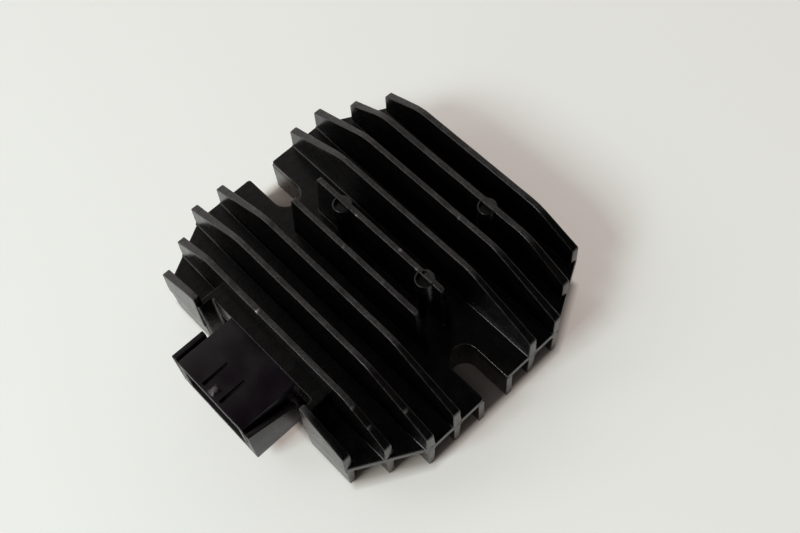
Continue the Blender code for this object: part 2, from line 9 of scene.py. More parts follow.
import bmesh
import bpy
import numpy as np
from bpy.props import FloatProperty, FloatVectorProperty, PointerProperty
from mathutils import Matrix, Vector


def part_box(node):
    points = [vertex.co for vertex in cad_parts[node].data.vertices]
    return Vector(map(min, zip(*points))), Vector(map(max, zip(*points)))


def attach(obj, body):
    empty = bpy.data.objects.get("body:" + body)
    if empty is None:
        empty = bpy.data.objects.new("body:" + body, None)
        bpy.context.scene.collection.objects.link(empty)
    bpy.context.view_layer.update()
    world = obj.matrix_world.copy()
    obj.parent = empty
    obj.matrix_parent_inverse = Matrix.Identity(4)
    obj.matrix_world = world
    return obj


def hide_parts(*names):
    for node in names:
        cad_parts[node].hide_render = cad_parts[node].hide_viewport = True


bl_info = {
    "name": "Regulator Rectifier Studio",
    "version": (1, 0, 0),
    "blender": (4, 5, 0),
    "location": "View3D > Sidebar > Rectifier",
    "description": "Builds a finned regulator rectifier and the studio it stands in",
    "category": "Object",
}

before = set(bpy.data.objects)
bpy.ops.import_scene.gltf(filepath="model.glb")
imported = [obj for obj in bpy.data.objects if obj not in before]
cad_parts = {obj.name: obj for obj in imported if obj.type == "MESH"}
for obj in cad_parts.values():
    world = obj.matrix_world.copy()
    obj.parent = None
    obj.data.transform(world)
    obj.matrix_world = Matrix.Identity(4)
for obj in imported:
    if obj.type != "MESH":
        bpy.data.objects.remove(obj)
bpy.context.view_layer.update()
SINK_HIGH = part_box("heat_sink")[1]
HOUSING_LOW, HOUSING_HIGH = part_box("connector_housing")

FIN_COUNT = 10
# Fins whose ends stop between the bolt slots
SHORT_FINS = (4, 5)
# Fins that are lower and end on the floor's slanted corners
LOW_FINS = (0, 1, 8, 9)
# Pitches from the middle line to the outermost fin, the last but one and the start of the corners
OUTER, SECOND, CORNER = ((FIN_COUNT - less) / 2 for less in (1, 3, 5))
# Distance between sections along a fin and along a foot
FIN_STEP, FOOT_STEP = 0.00036, 0.0012
# How deep a web's and a wall's roots are sunk into the floor, and how thin half a web may get
WEB_SUNK, WALL_SUNK, THINNEST = 0.0012, 0.0008, 0.0001
# Levels of a web between its two roundings, as parts of that height
LEVELS = np.array((0.30, 0.65, 0.94))
# Rounding of long edges, of a web's upright end edges and of a fin's tip seen from the side
EDGE_ROUND, END_ROUND, TIP_ROUND = 0.0003, 0.00025, 0.0006
# Hollow rounding where a fin and where a foot leave the floor
FIN_FILLET, FOOT_FILLET = 0.0004, 0.0006
# How far the bend between a fin's level top and its slope reaches to each side
BEND_REACH = 0.0027
# The floor's edge sets the length of a low fin at this part of its thickness off its middle
EDGE_PART = 0.3
# How far the floor stays inside the fins' ends, and the fins inside the casting's long sides
FLOOR_HAIR, SIDE_HAIR = 0.00003, 0.00001
# How far a low fin and another fin may pass the floor's edge
LOW_OVERHANG, OVERHANG = 0.00005, 0.0003
# Distance between the random values along a fin: lumps, grain, edge, and the lighter top mark of
# wear and painted top light
LUMPS, GRAIN, EDGE, WEAR_AND_LIGHT = 0.0021, 0.0008, 0.0013, 0.003
# Points closer than this are made one, and an edge steeper than this is sharp
MERGED, SHARP = 2e-7, math.radians(35.0)
# Round ejector pads: index of the fin and place along it
PADS = ((5, -0.0123), (5, 0.0172), (8, 0.0128))
# Rings of a pad and how far each lies below its face, as parts of its radius
PAD_RINGS = np.array((0.02, 0.25, 0.45, 0.62, 0.72, 0.77, 0.82, 0.90, 0.95, 0.98, 1.0, 1.0))
PAD_DROPS = np.array((0, 0, 0, 0, 0, 0, 0, 0, 0.006, 0.02, 0.05, 1.0))
# Part of its radius up to which a pad's face is sunk, and how deep
PAD_HOLLOW, PAD_HOLLOW_DEPTH = 0.79, 0.001
# Chips in the coating: index of the fin, place along it and across it, size, how bare
CHIPS = ((1, -0.0057, -0.0008, 0.00034, 0.9), (1, 0.0280, -0.0007, 0.00030, 0.3),
         (1, 0.0334, -0.0006, 0.00028, 0.3), (2, 0.0365, -0.0003, 0.00040, 0.45),
         (4, -0.0030, -0.0004, 0.00028, 0.3), (4, 0.0110, -0.0003, 0.00030, 0.25),
         (5, -0.0074, -0.0006, 0.00030, 0.4), (5, 0.0074, 0.0003, 0.00034, 0.7),
         (5, 0.0140, -0.0006, 0.00028, 0.3), (7, 0.0110, -0.0006, 0.00028, 0.3))
# Finishes of what is held inside, by the start of a node's name, the last for all other nodes:
# material, two colours, size of its patches, roughness, how metallic it is, depth of its relief
INSIDE = {
    "terminal": ("tinned_terminal", (0.62, 0.58, 0.50), (0.74, 0.71, 0.64),
                 0.0012, 0.30, 1.0, 0.00001),
    "metal_substrate": ("board_metal", (0.56, 0.57, 0.58), (0.68, 0.69, 0.70),
                        0.002, 0.38, 1.0, 0.00002),
    "potting": ("potting_resin", (0.010, 0.010, 0.011), (0.017, 0.017, 0.018),
                0.009, 0.34, 0.0, 0.0003),
    "capacitor": ("capacitor_can", (0.60, 0.61, 0.62), (0.72, 0.73, 0.74),
                  0.001, 0.30, 1.0, 0.00001),
    "gate_resistor": ("resistor_ceramic", (0.22, 0.21, 0.19), (0.30, 0.29, 0.26),
                      0.0008, 0.60, 0.0, 0.00001),
    "": ("package_epoxy", (0.022, 0.022, 0.024), (0.034, 0.034, 0.036),
         0.0006, 0.55, 0.0, 0.00002),
}
# Lamps: name, the settings with its power and its colour, and its place
LAMPS = (("soft_key", "key", "key_tint", (-0.10, -0.86, 0.78)),
         ("soft_overhead", "overhead", "lamp_tint", (0.30, -0.30, 1.12)),
         ("soft_side", "side", "lamp_tint", (-0.75, -0.62, 0.55)))
LAMP_SIZE = 0.4
# Height of the studio's floor and its three outlines, as multiples of the casting's
GROUND_Z, GROUND_RINGS = -2e-5, (0.98, 1.04, 40.0)
# What the camera looks at on the floor plate, from the middle line
TARGET = (0.00393, 0.00641)


def length(name, default, text, high=1.0):
    """Return a length property."""
    return FloatProperty(name=name, description=text, default=default, min=0.0, max=high,
                         precision=5, unit="LENGTH")


def share(name, default, text, high=1.0):
    """Return a plain number property."""
    return FloatProperty(name=name, description=text, default=default, min=0.0, max=high)


def angle(name, degrees, text):
    """Return an angle property."""
    return FloatProperty(name=name, description=text, default=math.radians(degrees),
                         subtype="ANGLE")


def colour(name, default, text):
    """Return a colour property."""
    return FloatVectorProperty(name=name, description=text, default=default, size=3,
                               subtype="COLOR", min=0.0, max=1.0)


class CastingSizes(bpy.types.PropertyGroup):
    """Sizes of the casting."""

    fin_pitch: length("Fin pitch", 0.0085, "Distance from one fin to the next")
    fin_root: length("Fin root", 0.0026, "Thickness of a fin at the floor")
    fin_top: length("Fin top", 0.0015, "Thickness of a fin at its top")
    fin_height: length("Fin height", 0.0155, "Height of the middle fins above the floor")
    second_height: length("Second fin height", 0.0134, "Height of the last fin but one")
    outer_height: length("Outer fin height", 0.0122, "Height of the outermost fins")
    end_height: length("Fin end height", 0.0064, "Height of a fin at its end")
    foot_draft: length("Foot draft", 0.0005, "How far a foot's end leans in at its lower edge")
    foot_root: length("Foot root", 0.0022, "Thickness of a foot at the floor")
    foot_tip: length("Foot tip", 0.0017, "Thickness of a foot at its lower end")
    slope_run: length("Slope run", 0.0211, "Length of the slope at a middle fin's end")
    outer_slope_run: length("Outer slope run", 0.0133, "Length of the slope of an outer fin")
    short_length: length("Short fin length", 0.0446, "Length of the two middle fins")
    short_draft: length("Short fin draft", 0.0014, "How far a short fin's end leans")
    floor_top: length("Floor top", 0.0119, "Height of the floor's upper face")
    pocket_depth: length("Pocket depth", 0.0097, "Height of the floor's lower face")
    corner_slope: share("Corner slope", 0.56, "How the floor's corners run in toward its sides")
    slot_width: length("Slot width", 0.0078, "Width of a bolt slot")
    slot_spacing: length("Slot spacing", 0.0672, "Distance between the slots' round ends")
    slot_wall: length("Slot wall", 0.0018, "Wall round a bolt slot")
    rim_setback: length("Rim setback", 0.0045, "From the floor's end to the pocket's wall")
    rim_wall: length("Rim wall", 0.0022, "Thickness of the pocket's wall")
    notch_width: length("Notch width", 0.0374, "Width of the notch for the connector")
    notch_setback: length("Notch setback", 0.0034, "From the outer fin to the notch's back")
    hood_wall: length("Hood wall", 0.0016, "Thickness of the hood's side walls")
    hood_top: length("Hood top", 0.0204, "Height of the hood over the connector")
    pad_radius: length("Pad radius", 0.0025, "Radius of an ejector pad")
    pad_offset: length("Pad offset", 0.0009, "From a fin's middle to its pad's middle")
    unevenness: length("Unevenness", 0.00005, "How far the cast tops wander", high=0.001)


class CastingFinish(bpy.types.PropertyGroup):
    """Look of the casting's black coating."""

    coat: colour("Coat", (0.0012, 0.0010, 0.0010), "Colour of the coating")
    dust: colour("Dust", (0.0026, 0.0020, 0.0018), "Colour of the browner patches")
    # Lighter colour of the fin and pad tops, partly wear and partly painted top light; the feet's
    # lower edges get it as wear
    rubbed: colour("Rubbed", (0.044, 0.039, 0.039), "Colour where the coating is rubbed thin")
    bare: colour("Bare metal", (0.46, 0.44, 0.44), "Colour of the metal in a chip")
    roughness: share("Roughness", 0.25, "Mean roughness of the coating")
    sheen: share("Sheen", 0.50, "How strongly the coating mirrors what is straight above it")
    grain: length("Grain", 0.00055, "Size of the coating's grain")


class HousingSizes(bpy.types.PropertyGroup):
    """Sizes of the connector housing."""

    neck_width: length("Neck width", 0.0244, "Width of the housing between its side rails")
    height: length("Height", 0.0144, "Height of the socket's body")
    drop: length("Drop", 0.0017, "From the hood's top down to the body's top")
    width: length("Width", 0.0290, "Width over the side rails")
    rail: length("Rail", 0.0015, "Thickness of a side rail")
    groove_depth: length("Groove depth", 0.0070, "Depth of the groove beside a rail")
    left_rail: length("Left rail", 0.0096, "Length of the left rail")
    right_rail: length("Right rail", 0.0142, "Length of the right rail")
    drop_at_mouth: length("Drop at the mouth", 0.0009, "How low the right rail starts")
    drop_at_back: length("Drop at the back", 0.0052, "How low the right rail ends")
    wall: length("Wall", 0.0014, "Wall of the socket")
    depth: length("Socket depth", 0.0139, "Depth of the socket")
    edge: length("Edge", 0.00025, "Rounding of the moulded edges")
    slit_width: length("Slit width", 0.0010, "Width of the slits beside the latch")
    slit_length: length("Slit length", 0.0077, "Length of the slits")
    slit_setback: length("Slit setback", 0.0009, "From the mouth to the slits")
    latch_width: length("Latch width", 0.0054, "Width of the latch tongue")
    bump_height: length("Bump height", 0.0007, "Height of the latch bump")
    bump_setback: length("Bump setback", 0.0020, "From the mouth to the latch bump")


class HousingFinish(bpy.types.PropertyGroup):
    """Look of the connector housing."""

    plastic: colour("Plastic", (0.0048, 0.0026, 0.0050), "Colour of the moulded plastic")
    haze: colour("Haze", (0.0072, 0.0046, 0.0070), "Colour of its paler patches")
    # Lighter colour of the latch bump: partly wear, partly a painted highlight
    rubbed: colour("Rubbed", (0.085, 0.075, 0.08), "Colour where the latch bump is rubbed")
    roughness: share("Roughness", 0.30, "Mean roughness of the plastic")
    sheen: share("Sheen", 0.40, "How strongly the plastic mirrors what is straight above it")


class StudioSettings(bpy.types.PropertyGroup):
    """Floor and lights."""

    floor: colour("Floor", (0.71, 0.80, 0.80), "Colour of the floor")
    # Painted shade: the floor under the casting and in its slots gets this darker, browner colour
    shade_beneath: colour("Floor beneath", (0.60, 0.54, 0.49), "Colour of the floor under the casting")
    glow_tint: colour("Glow colour", (1.0, 0.84, 0.75), "Colour of the floor's own shine")
    glow: share("Glow", 0.33, "How much the floor shines toward the camera and in reflections")
    window: share("Window side", 0.86, "Strength of the sky on the fins' left side", high=5.0)
    shade: share("Far side", 0.90, "Strength of the sky on the fins' right side", high=5.0)
    zenith: share("Zenith", 0.0, "Strength of the light from straight above", high=5.0)
    sky_tint: colour("Sky tint", (1.0, 0.93, 0.90), "Colour of the light from all round")
    key: share("Key", 7.4, "Power of the lamp on the connector's side, in watts", 100.0)
    overhead: share("Overhead", 0.4, "Power of the lamp over the camera, in watts", 100.0)
    side: share("Side", 1.3, "Power of the lamp over the left corner, in watts", 100.0)
    key_tint: colour("Key tint", (0.94, 1.0, 0.985), "Colour of the lamp on the connector's side")
    lamp_tint: colour("Lamp tint", (1.0, 0.955, 0.925), "Colour of the other two lamps")
    azimuth: angle("Azimuth", 53.61, "Camera's turn round the object")
    elevation: angle("Elevation", 61.515, "Camera's height over the horizon")
    roll: angle("Roll", -7.785, "Camera's turn about its own line of sight")
    distance: length("Distance", 0.2853, "From the camera to the point it looks at", high=5.0)
    focal: FloatProperty(name="Focal length", description="Focal length in millimetres",
                         default=50.47, min=10.0, max=200.0)


# Outlines and surfaces

def rounded(corners, reach, steps=5):
    """Replace each corner by a parabola that leaves its two sides `reach` away from it.

    A point of it is (1-t)^2 A + 2t(1-t) C + t^2 B, with C the corner and A and B on its sides. The
    reach stays under half of the shorter side.
    """
    under_half = 0.45
    corner = np.asarray(corners, float)
    before = np.roll(corner, 1, 0) - corner
    after = np.roll(corner, -1, 0) - corner
    after_length = np.linalg.norm(after, axis=1)
    before_length = np.roll(after_length, 1)
    reach = np.minimum(reach, under_half * np.minimum(before_length, after_length))
    start = corner + before * (reach / before_length)[:, None]
    end = corner + after * (reach / after_length)[:, None]
    t = np.linspace(0, 1, steps + 1)[None, :, None]
    arc = (1 - t) ** 2 * start[:, None] + 2 * t * (1 - t) * corner[:, None] + t * t * end[:, None]
    return arc.reshape(-1, 2)


def inset(loop, distance):
    """Move every point of a counterclockwise loop inward, along the mean of its sides' normals."""
    tiny, sharpest = 1e-12, -0.5
    side = np.roll(loop, -1, 0) - loop
    ahead = np.stack((-side[:, 1], side[:, 0]), 1)
    ahead /= np.linalg.norm(ahead, axis=1)[:, None] + tiny
    behind = np.roll(ahead, 1, 0)
    along = np.clip((behind * ahead).sum(1), sharpest, 1.0)
    return loop + distance * (behind + ahead) / (1 + along)[:, None]


def quarter(steps):
    """Return how far in and how far up a quarter circle of radius one goes, from its side."""
    turn = np.linspace(0, math.pi / 2, steps + 1)
    return 1 - np.cos(turn), np.sin(turn)


def slab(outline, low, high, top_round, bottom_round):
    """Return sections of a plate with rounded edges: its outline inset and raised by quarters.

    A narrow flat border inside each rounding keeps the flat faces' shading flat.
    """
    inward, upward = quarter(4)
    border = 0.00008
    insets = np.concatenate(([bottom_round + border], bottom_round * inward[::-1],
                             top_round * inward, [top_round + border]))
    heights = np.concatenate(([low], low + bottom_round * (1 - upward[::-1]),
                              high - top_round * (1 - upward), [high]))
    return np.stack([np.insert(inset(outline, distance), 2, height, axis=1)
                     for distance, height in zip(insets, heights)])


def wander(along, seed, size):
    """Return smooth noise between about -1 and 1: random values a size apart, eased between."""
    count = 1024
    knots = np.random.default_rng(seed).uniform(-1, 1, count)
    place = along / size + count // 2
    low = np.floor(place).astype(int)
    part = place - low
    ease = part * part * (3 - 2 * part)
    return knots[low % count] * (1 - ease) + knots[(low + 1) % count] * ease


def stations(start, end, step):
    """Return places from start to end, a step apart and closer in the rounding of both ends."""
    from_end = END_ROUND * (1 - quarter(5)[1])
    near = start + from_end[::-1]
    far = end - from_end
    count = max(3, int(round((far[0] - near[-1]) / step)))
    return np.concatenate((near[:-1], np.linspace(near[-1], far[0], count), far[1:]))


class Shells:
    """Closed shells gathered into the points, faces and marks of one mesh."""

    def __init__(self):
        self.points, self.faces, self.count = [], [], 0
        self.marks = {"rubbed": [], "bare": []}

    def loft(self, sections, rubbed=0.0, bare=0.0):
        """Add the skin over a row of closed sections, and its two ends.

        The sections are shaped (sections, points, 3), and a mark has a value for each point.
        """
        rows, around = sections.shape[:2]
        index = np.arange(rows * around).reshape(rows, around) + self.count
        turned = np.roll(index, -1, 1)
        quads = np.stack((index[:-1], turned[:-1], turned[1:], index[1:]), -1).reshape(-1, 4)
        self.faces += quads.tolist() + [index[0][::-1].tolist(), index[-1].tolist()]
        self.points.append(sections.reshape(-1, 3))
        for mark, value in (("rubbed", rubbed), ("bare", bare)):
            self.marks[mark].append(np.broadcast_to(value, (rows, around)).reshape(-1))
        self.count += rows * around

    def piece(self, name, material, slot, nodes):
        """Make the gathered shells one object that rides with the part and stands for nodes."""
        mesh = bpy.data.meshes.new(name)
        mesh.from_pydata(np.concatenate(self.points).tolist(), [], self.faces)
        for mark, values in self.marks.items():
            layer = mesh.attributes.new(mark, "FLOAT", "POINT")
            layer.data.foreach_set("value", np.concatenate(values).astype(np.float32))
        bm = bmesh.new()
        bm.from_mesh(mesh)
        bmesh.ops.remove_doubles(bm, verts=bm.verts, dist=MERGED)
        bmesh.ops.recalc_face_normals(bm, faces=bm.faces)
        bm.to_mesh(mesh)
        bm.free()
        mesh.materials.append(material)
        mesh.shade_smooth()
        mesh.set_sharp_from_angle(angle=SHARP)
        item = bpy.data.objects.new(name, mesh)
        bpy.context.scene.collection.objects.link(item)
        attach(item, "root")
        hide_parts(*nodes)


# Places on the casting

def middle_y(s):
    """Return where the middle between the bolt slots lies."""
    return SINK_HIGH.y - OUTER * s.fin_pitch - s.fin_root / 2


def fin_y(s, index):
    """Return a fin's place across the unit."""
    return middle_y(s) + (index - OUTER) * s.fin_pitch


def edge_x(s, y):
    """Return half the floor's length at a distance from the slots' middle line."""
    return SINK_HIGH.x - np.maximum(0.0, np.abs(y) - CORNER * s.fin_pitch) * s.corner_slope


def arm_x(s):
    """Return where the casting's arms start, in the middle of the hood's side walls."""
    return s.notch_width / 2 + s.hood_wall / 2


def notch_y(s):
    """Return how far the notch's back lies from the middle line."""
    return OUTER * s.fin_pitch - s.notch_setback


def split(half, inner):
    """Return a web's span on the left and its span on the right."""
    return [(-half, -inner), (inner, half)]


def fin_plan(s, index):
    """Return half a fin's length, where its slope starts and its height above the floor."""
    if index in SHORT_FINS:
        return s.short_length / 2, s.short_length, s.fin_height
    away = abs(index - OUTER) * s.fin_pitch
    if index in LOW_FINS:
        half = edge_x(s, away + EDGE_PART * s.fin_root)
        height = s.outer_height if index in (0, FIN_COUNT - 1) else s.second_height
        return half, half - s.outer_slope_run, height
    half = edge_x(s, away)
    return half, half - s.slope_run, s.fin_height


def fin_line(s, index, x):
    """Return the height of a fin's top edge above the floor.

    It is level in the middle and falls evenly to its end. A parabola joins the two and a quarter
    circle rounds the tip.
    """
    half, bend, height = fin_plan(s, index)
    slope = (height - s.end_height) / (half - bend) if bend < half else 0.0
    beyond = np.abs(x) - bend
    ramp = np.where(beyond > BEND_REACH, beyond,
                    np.clip(beyond + BEND_REACH, 0, None) ** 2 / (4 * BEND_REACH))
    tip = np.clip(np.abs(x) - (half - TIP_ROUND), 0, TIP_ROUND)
    return height - slope * ramp - (TIP_ROUND - np.sqrt(TIP_ROUND ** 2 - tip ** 2))


def web(x, height, centre, root, tip, full, fillet, seed, uneven=0.0):
    """Return sections of an upright web and how rubbed each point is, with z = 0 at its root.

    Up each side the web narrows evenly, leaves its root by a quarter circle and meets its top by
    another. Its ends narrow by a quarter circle too, and noise moves its top edges a little.
    """
    inward, upward = quarter(4)
    rise, closed = quarter(3)
    from_end = np.clip(np.minimum(x - x[0], x[-1] - x), 0, END_ROUND)
    shrink = END_ROUND - np.sqrt(END_ROUND ** 2 - (END_ROUND - from_end) ** 2)
    height = (height - shrink)[:, None]
    ones = np.ones_like(height)
    level = np.concatenate((-WEB_SUNK * ones, fillet * rise * ones,
                            fillet + LEVELS * (height - EDGE_ROUND - fillet),
                            height - EDGE_ROUND + EDGE_ROUND * upward), axis=1)
    extra = np.concatenate(([fillet], fillet * (1 - closed), 0 * LEVELS, -EDGE_ROUND * inward))
    half = (root + (tip - root) * level / full) / 2 + extra[None, :] - shrink[:, None]
    half = np.maximum(half, THINNEST)
    below_top = level.shape[1] - len(upward)
    top = np.concatenate((np.zeros(below_top), upward))[None, :]
    along = x[:, None] + np.zeros_like(level)
    rows_y, rows_z = [], []
    for side, first in ((1, seed), (-1, seed + 40)):
        bump = wander(along, first, LUMPS) + 0.8 * wander(along, first + 1, GRAIN)
        shift = 0.6 * wander(along, first + 2, EDGE)
        rows_y.append(centre + side * (half + uneven * shift * top))
        rows_z.append(level + uneven * bump * top ** 2)
    # Toward its top edges the web is marked lighter: partly wear, partly painted top light
    rubbed = top ** 3 * np.clip(0.75 + 0.35 * wander(along, seed + 9, WEAR_AND_LIGHT), 0, 1)
    y, z, marks = (np.concatenate((left, right[:, ::-1]), axis=1)
                   for left, right in (rows_y, rows_z, (rubbed, rubbed)))
    return np.stack((np.broadcast_to(x[:, None], y.shape), y, z), axis=-1), marks


def chip_marks(s, index, points):
    """Return how bare each point is: one inside a chip, falling to none at its ragged edge."""
    bare = np.zeros(points.shape[:2])
    reach = 1.6
    for fin, place, across, size, depth in CHIPS:
        if fin == index:
            top = s.floor_top + fin_line(s, index, place)
            far = np.linalg.norm(points - (place, fin_y(s, index) + across, top), axis=-1)
            bare = np.maximum(bare, depth * np.clip(reach - far / size, 0, 1))
    return bare


def within(s, index, points):
    """Hold points a hair inside the floor's long sides and close to its slanted ends."""
    side = OUTER * s.fin_pitch + s.fin_root / 2 - SIDE_HAIR
    across = np.clip(points[..., 1] - middle_y(s), -side, side)
    overhang = LOW_OVERHANG if index in LOW_FINS else OVERHANG
    end = np.minimum(edge_x(s, across) + overhang, SINK_HIGH.x)
    points[..., 0] = np.clip(points[..., 0], -end, end)
    points[..., 1] = middle_y(s) + across
    return points


def slot_arc(s, radius, steps):
    """Return a half circle round the inner end of the right bolt slot, from -Y to +Y."""
    turn = np.linspace(-math.pi / 2, -3 * math.pi / 2, steps + 1)
    return np.column_stack((s.slot_spacing / 2 + radius * np.cos(turn), radius * np.sin(turn)))


def floor_outline(s):
    """Return the floor's outline, counterclockwise, with both bolt slots and the notch."""
    side = OUTER * s.fin_pitch + s.fin_root / 2
    corner = CORNER * s.fin_pitch
    end = SINK_HIGH.x - FLOOR_HAIR
    side_x = edge_x(s, side) - FLOOR_HAIR
    radius = s.slot_width / 2
    inner, notch = arm_x(s), -notch_y(s)
    turns = rounded(((0.0, notch), (inner, notch), (inner, -side), (side_x, -side),
                     (end, -corner), (end, -radius), (0.0, -radius), (0.0, radius),
                     (end, radius), (end, corner), (side_x, side), (0.0, side)), reach=0.0009)
    turns = turns.reshape(12, -1, 2)
    right = np.concatenate((turns[1:6].reshape(-1, 2), slot_arc(s, radius, 24),
                            turns[8:11].reshape(-1, 2)))
    return np.concatenate((right, right[::-1] * (-1, 1))) + (0, middle_y(s))


def rim_half(s, grow):
    """Return half of the pocket wall's outline, from one bolt slot round to the other."""
    past_slot = 0.0006
    setback = s.rim_setback - grow
    half_x = SINK_HIGH.x - setback
    half_y = notch_y(s) + grow
    corner_x = edge_x(s, half_y - grow + s.rim_setback) - setback
    corner_y = half_y - (half_x - corner_x) / s.corner_slope
    inner = s.slot_width / 2 + past_slot
    return np.array(((-half_x, inner), (-half_x, corner_y), (-corner_x, half_y),
                     (corner_x, half_y), (half_x, corner_y), (half_x, inner)))


def wall_loft(outer, inner, high):
    """Return sections of a wall between two paths: up from z = 0, with rounded lower edges."""
    inward, upward = quarter(3)
    across = inner - outer
    step = EDGE_ROUND * across / np.linalg.norm(across, axis=1)[:, None]
    rows = [(outer + step * way, EDGE_ROUND * (1 - rise)) for way, rise in zip(inward, upward)]
    rows += [(inner - step * way, EDGE_ROUND * (1 - rise))
             for way, rise in zip(inward[::-1], upward[::-1])]
    rows = [(outer, high)] + rows + [(inner, high)]
    return np.stack([np.insert(path, 2, z, axis=1) for path, z in rows], axis=1)


def hood_outline(s):
    """Return the hood's plan: a block with two side walls that reach out past the notch."""
    half = s.notch_width / 2
    outer = half + s.hood_wall
    front = -OUTER * s.fin_pitch - s.fin_top / 2
    notch = -notch_y(s)
    back = -SECOND * s.fin_pitch
    corners = ((-outer, front), (-half, front), (-half, notch), (half, notch), (half, front),
               (outer, front), (outer, back), (-outer, back))
    return rounded(corners, reach=0.0008) + (0, middle_y(s))


# Finishes

class Nodes:
    """Adds nodes to a node tree and links them."""

    def __init__(self, tree):
        self.tree = tree

    def put(self, socket, value):
        """Link an input to an output, or set it to a number, a direction or a colour."""
        if isinstance(value, bpy.types.NodeSocket):
            self.tree.links.new(value, socket)
        else:
            socket.default_value = (*value, 1.0) if socket.type == "RGBA" else value

    def add(self, kind, inputs=None, **settings):
        """Add a node of a kind, with its own settings and with values for its inputs."""
        node = self.tree.nodes.new(kind)
        for key, value in settings.items():
            setattr(node, key, value)
        for key, value in (inputs or {}).items():
            self.put(node.inputs[key], value)
        return node

    def spread(self, source, low, high, to_low=0.0, to_high=1.0):
        """Stretch a value from one range to another, held at both ends."""
        return self.add("ShaderNodeMapRange",
                        {"Value": source, "From Min": low, "From Max": high,
                         "To Min": to_low, "To Max": to_high}).outputs["Result"]

    def maths(self, operation, first, second):
        """Work out one operation on two values."""
        return self.add("ShaderNodeMath", {0: first, 1: second}, operation=operation).outputs[0]

    def dot(self, first, second):
        """Return the dot product of two directions."""
        return self.add("ShaderNodeVectorMath", {0: first, 1: second},
                        operation="DOT_PRODUCT").outputs["Value"]

    def blend(self, share_of, first, second):
        """Mix two colours."""
        return self.add("ShaderNodeMix", {0: share_of, 6: first, 7: second},
                        data_type="RGBA").outputs[2]


class Finish(Nodes):
    """The nodes of a new material."""

    def __init__(self, name):
        self.material = bpy.data.materials.new(name)
        self.material.use_nodes = True
        super().__init__(self.material.node_tree)
        self.shader = self.tree.nodes["Principled BSDF"]
        self.place = self.add("ShaderNodeTexCoord").outputs["Object"]

    def noise(self, size, detail=3.0, roughness=0.55):
        """Return noise whose lumps are about a size across."""
        return self.add("ShaderNodeTexNoise",
                        {"Scale": 1.0 / size, "Detail": detail, "Roughness": roughness,
                         "Vector": self.place}).outputs["Fac"]

    def mark(self, name):
        """Return a mark that the mesh carries at its points."""
        return self.add("ShaderNodeAttribute", attribute_name=name).outputs["Fac"]

    def surface(self, values):
        """Set or link the shader's inputs by name."""
        for key, value in values.items():
            self.put(self.shader.inputs[key], value)

    def relief(self, height, depth):
        """Tilt the shader's normal as a height over the surface does."""
        bump = self.add("ShaderNodeBump", {"Height": height, "Distance": depth, "Strength": 0.5})
        self.surface({"Normal": bump.outputs["Normal"]})


def coated_casting(finish):
    """Black coating on rough cast metal: grain and lumps, rubbed tops and chips to the metal."""
    nodes = Finish("black_coated_casting")
    grain = nodes.noise(finish.grain, roughness=0.6)
    lumps = nodes.noise(finish.grain * 5)
    patches = nodes.noise(size=0.016)
    wear_light_mark = nodes.mark("rubbed")
    base = nodes.blend(nodes.spread(patches, low=0.42, high=0.66), finish.coat, finish.dust)
    # The tops' lighter colour, speckled by the grain, is partly wear and partly painted top light
    speckle = nodes.spread(grain, low=0.46, high=0.60, to_low=0.15)
    rubbed = nodes.maths("MULTIPLY", wear_light_mark, speckle)
    base = nodes.blend(rubbed, base, finish.rubbed)
    ragged = nodes.spread(grain, low=0.35, high=0.50)
    bare = nodes.maths("MULTIPLY", nodes.mark("bare"), ragged)
    rough = nodes.spread(lumps, 0.30, 0.70, finish.roughness - 0.03, finish.roughness + 0.05)
    rough = nodes.maths("ADD", rough, nodes.maths("MULTIPLY", wear_light_mark, 0.3))
    nodes.surface({"Base Color": nodes.blend(bare, base, finish.bare), "Metallic": bare,
                   "Roughness": rough, "Specular IOR Level": finish.sheen})
    height = nodes.maths("ADD", nodes.maths("MULTIPLY", grain, 0.45), lumps)
    nodes.relief(height, depth=0.00010)
    return nodes.material


def housing_plastic(finish):
    """Moulded black plastic: a fine spark eroded grain and slow changes of sheen."""
    nodes = Finish("moulded_black_plastic")
    grain = nodes.noise(size=0.00022, detail=2.0)
    haze = nodes.noise(size=0.006, detail=2.0)
    base = nodes.blend(nodes.spread(haze, 0.4, 0.7), finish.plastic, finish.haze)
    rough = nodes.spread(haze, 0.3, 0.7, finish.roughness - 0.05, finish.roughness + 0.08)
    # The latch bump's mark lightens it: partly wear, partly a painted highlight
    nodes.surface({"Base Color": nodes.blend(nodes.mark("rubbed"), base, finish.rubbed),
                   "Roughness": rough, "Specular IOR Level": finish.sheen})
    nodes.relief(grain, depth=0.00002)
    return nodes.material


def plain_finish(name, first, second, size, roughness, metallic, depth):
    """A finish with patches of two colours, a roughness that follows them and a little relief."""
    nodes = Finish(name)
    patches = nodes.noise(size, detail=4.0)
    rough = nodes.spread(patches, 0.3, 0.7, roughness - 0.06, roughness + 0.06)
    nodes.surface({"Base Color": nodes.blend(nodes.spread(patches, 0.35, 0.65), first, second),
                   "Roughness": rough, "Metallic": metallic})
    nodes.relief(patches, depth)
    return nodes.material


